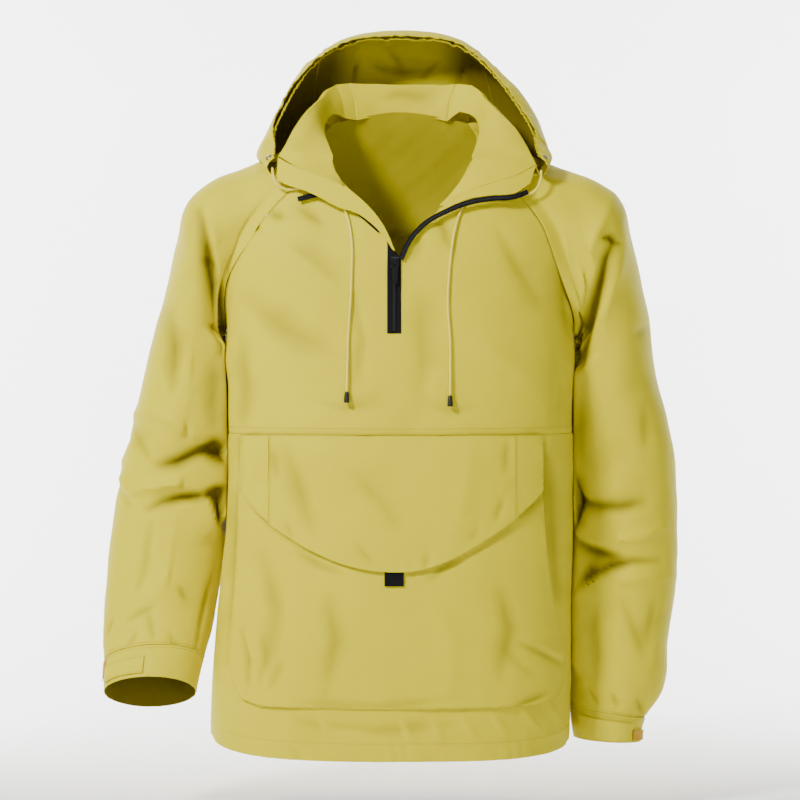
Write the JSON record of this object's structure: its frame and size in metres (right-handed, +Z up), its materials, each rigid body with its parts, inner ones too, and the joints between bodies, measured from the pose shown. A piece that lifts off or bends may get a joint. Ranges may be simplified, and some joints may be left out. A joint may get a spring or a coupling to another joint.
{
  "type": "anorak pullover",
  "caption": "Hooded half-zip anorak filled out as if worn, hood thrown back, neck open, with a big flapped front pocket, drawcords and cuff tabs.",
  "frame": {"origin": "between the shoulders, where the base of the wearer's neck carries the garment", "axes": "+Z up, front of the garment towards -Y, +X to the right of someone who faces it"},
  "size_m": [0.7221, 0.3523, 0.919],
  "materials": {
    "shell_cloth": "smooth plain-woven polyamide shell cloth with a soft sheen",
    "hook_patch": "hook-and-loop tape",
    "zip_tape": "woven zip tape with coil teeth",
    "zip_hardware": "painted slider and pull",
    "webbing": "woven webbing",
    "eyelet": "pressed metal eyelet",
    "drawcord": "braided cord",
    "cord_end": "moulded end cap"
  },
  "bodies": {
    "garment": {"front_yoke": "shell_cloth", "front_lower": "shell_cloth", "back": "shell_cloth", "sleeve_left": "shell_cloth", "sleeve_right": "shell_cloth", "cuff_left": "shell_cloth", "cuff_right": "shell_cloth", "cuff_strap_left": "shell_cloth", "cuff_strap_right": "shell_cloth", "hood_left": "shell_cloth", "hood_centre": "shell_cloth", "hood_right": "shell_cloth", "hood_casing": "shell_cloth", "band_left": "shell_cloth", "band_right": "shell_cloth", "pocket": "shell_cloth", "pocket_flap": "shell_cloth", "flap_ear_left": "shell_cloth", "flap_ear_right": "shell_cloth", "hook_patch_left": "hook_patch", "hook_patch_right": "hook_patch", "zip_tape_left": "zip_tape", "zip_tape_right": "zip_tape", "zip_strip": "zip_tape", "zip_slider": "zip_hardware", "webbing_tab": "webbing", "eyelet_left": "eyelet", "eyelet_right": "eyelet", "drawcord_left": "drawcord", "drawcord_right": "drawcord", "cord_end_left": "cord_end", "cord_end_right": "cord_end"},
    "pull": {"zip_pull": "zip_hardware"}
  },
  "joints": [
    {"name": "pull_hinge", "type": "hinge", "parent": "garment", "child": "pull", "pos_m": [-0.006, -0.13193, -0.12144], "axis": [-1, 0, 0], "range_deg": [0, 150]}
  ]
}
